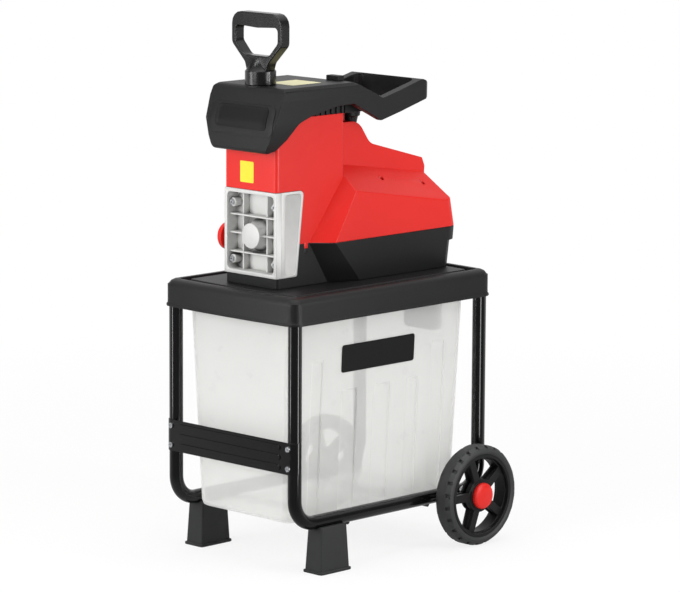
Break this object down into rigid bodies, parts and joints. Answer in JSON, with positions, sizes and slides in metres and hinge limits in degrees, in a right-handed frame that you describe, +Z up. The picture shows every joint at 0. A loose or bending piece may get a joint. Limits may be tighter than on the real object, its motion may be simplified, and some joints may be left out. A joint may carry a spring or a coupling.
{
  "type": "garden shredder",
  "caption": "Slow crushing-drum garden shredder on a wheeled tube stand, with a push grip over the feed hole, a motor and gear drive, an adjustable pressure plate and a slide-out clear chip bin",
  "frame": {"origin": "centre of the footprint, on the floor", "axes": "+Z up, -Y the front with the gear cover, +Y the rear with the wheels and the carrying loop"},
  "size_m": [0.4438, 0.541, 0.985],
  "materials": {
    "tube_paint": "gloss black powder coat",
    "black_plastic": "fine textured black",
    "red_plastic": "satin red",
    "bin_plastic": "milky translucent",
    "latch_plastic": "blue grey",
    "cast_aluminium": "die cast, satin",
    "zinc_steel": "bright zinc",
    "machined_steel": "machined and hardened",
    "core_iron": "laminated sheet",
    "copper": "enamelled copper wire",
    "tyre_rubber": "moulded black",
    "gear_nylon": "cast nylon",
    "green_plastic": "green",
    "stop_plastic": "red"
  },
  "bodies": {
    "stand": {"frame_loop_right": "tube_paint", "frame_loop_left": "tube_paint", "front_crossbar": "tube_paint", "crossbar_screws": "zinc_steel", "bin_rods": "tube_paint", "foot_right": "black_plastic", "foot_left": "black_plastic", "foot_screws": "zinc_steel", "wheel_bolts": "zinc_steel", "deck": "black_plastic", "deck_screws": "zinc_steel", "lower_housing": "black_plastic", "upper_housing": "red_plastic", "housing_screws": "zinc_steel", "gear_cover": "cast_aluminium", "cover_screws": "zinc_steel", "chamber_frame": "cast_aluminium", "feed_chute": "black_plastic", "hood": "black_plastic", "control_box": "black_plastic", "power_inlet": "black_plastic", "adjuster_bush": "machined_steel", "drum_bearings": "machined_steel", "layshaft_bearings": "machined_steel", "motor_bearings": "machined_steel", "gear_case": "cast_aluminium", "motor_flange": "cast_aluminium", "motor_stator": "core_iron", "motor_windings": "copper", "rear_shield": "cast_aluminium", "capacitor": "cast_aluminium", "capacitor_clip": "black_plastic"},
    "wheel_right": {"wheel_rim_right": "black_plastic", "tyre_right": "tyre_rubber", "hubcap_right": "red_plastic"},
    "wheel_left": {"wheel_rim_left": "black_plastic", "tyre_left": "tyre_rubber", "hubcap_left": "red_plastic"},
    "bin": {"bin": "bin_plastic", "bin_latch": "latch_plastic"},
    "latch": {"latch_slider": "red_plastic"},
    "pusher": {"pusher_grip": "black_plastic", "pusher_shaft": "black_plastic"},
    "adjuster": {"adjuster_knob": "red_plastic", "adjuster_screw": "machined_steel"},
    "plate": {"pressure_plate": "machined_steel"},
    "drum": {"drum": "machined_steel", "drum_shaft": "machined_steel", "output_gear": "machined_steel"},
    "layshaft": {"layshaft": "machined_steel", "layshaft_gear": "gear_nylon"},
    "rotor": {"rotor": "core_iron", "motor_shaft": "machined_steel", "fan": "black_plastic"},
    "start": {"start_button": "green_plastic"},
    "stop": {"stop_button": "stop_plastic"},
    "reverse": {"reverse_switch": "black_plastic"},
    "reset": {"reset_button": "black_plastic"},
    "clamp": {"hood_knob": "black_plastic"}
  },
  "joints": [
    {"name": "wheel_right_spin", "type": "hinge", "parent": "stand", "child": "wheel_right", "pos_m": [0.1955, 0.178, 0.0925], "axis": [1, 0, 0], "continuous": true},
    {"name": "wheel_left_spin", "type": "hinge", "parent": "stand", "child": "wheel_left", "pos_m": [-0.1955, 0.178, 0.0925], "axis": [1, 0, 0], "continuous": true},
    {"name": "bin_slide", "type": "slide", "parent": "stand", "child": "bin", "axis": [0, 1, 0], "range_m": [0, 0.48]},
    {"name": "latch_slide", "type": "slide", "parent": "bin", "child": "latch", "axis": [0, 0, 1], "range_m": [0, 0.012]},
    {"name": "pusher_lift", "type": "slide", "parent": "stand", "child": "pusher", "axis": [0, 0, 1], "range_m": [0, 0.14]},
    {"name": "adjuster_turn", "type": "hinge", "parent": "stand", "child": "adjuster", "pos_m": [-0.09, -0.159, 0.574], "axis": [1, 0, 0], "range_deg": [0, 540]},
    {"name": "plate_slide", "type": "slide", "parent": "stand", "child": "plate", "axis": [1, 0, 0], "range_m": [0, 0.0045]},
    {"name": "rotor_spin", "type": "hinge", "parent": "stand", "child": "rotor", "pos_m": [0, 0.05, 0.60896], "axis": [0, 1, 0], "continuous": true},
    {"name": "layshaft_spin", "type": "hinge", "parent": "stand", "child": "layshaft", "pos_m": [0.0325, -0.03, 0.64529], "axis": [0, 1, 0], "continuous": true},
    {"name": "drum_spin", "type": "hinge", "parent": "stand", "child": "drum", "pos_m": [0, -0.13, 0.589], "axis": [0, 1, 0], "continuous": true},
    {"name": "start_press", "type": "slide", "parent": "stand", "child": "start", "axis": [0, 0.4122, 0.9111], "range_m": [-0.003, 0], "stiffness_N_per_m": 400},
    {"name": "stop_press", "type": "slide", "parent": "stand", "child": "stop", "axis": [0, 0.4122, 0.9111], "range_m": [-0.003, 0], "stiffness_N_per_m": 400},
    {"name": "reset_press", "type": "slide", "parent": "stand", "child": "reset", "axis": [0, 0.4122, 0.9111], "range_m": [-0.003, 0], "stiffness_N_per_m": 400},
    {"name": "reverse_turn", "type": "hinge", "parent": "stand", "child": "reverse", "pos_m": [0, 0.02831, 0.82362], "axis": [0, 0.4122, 0.9111], "range_deg": [-45, 45]},
    {"name": "clamp_turn", "type": "hinge", "parent": "stand", "child": "clamp", "pos_m": [0, 0.042, 0.783], "axis": [0, 0, 1], "range_deg": [0, 720]}
  ],
  "couplings": [
    {"joint": "adjuster_turn", "follows": "plate_slide", "rad_per_m": 2094.3},
    {"joint": "layshaft_spin", "follows": "rotor_spin", "ratio": -0.18182},
    {"joint": "drum_spin", "follows": "rotor_spin", "ratio": 0.033058}
  ]
}
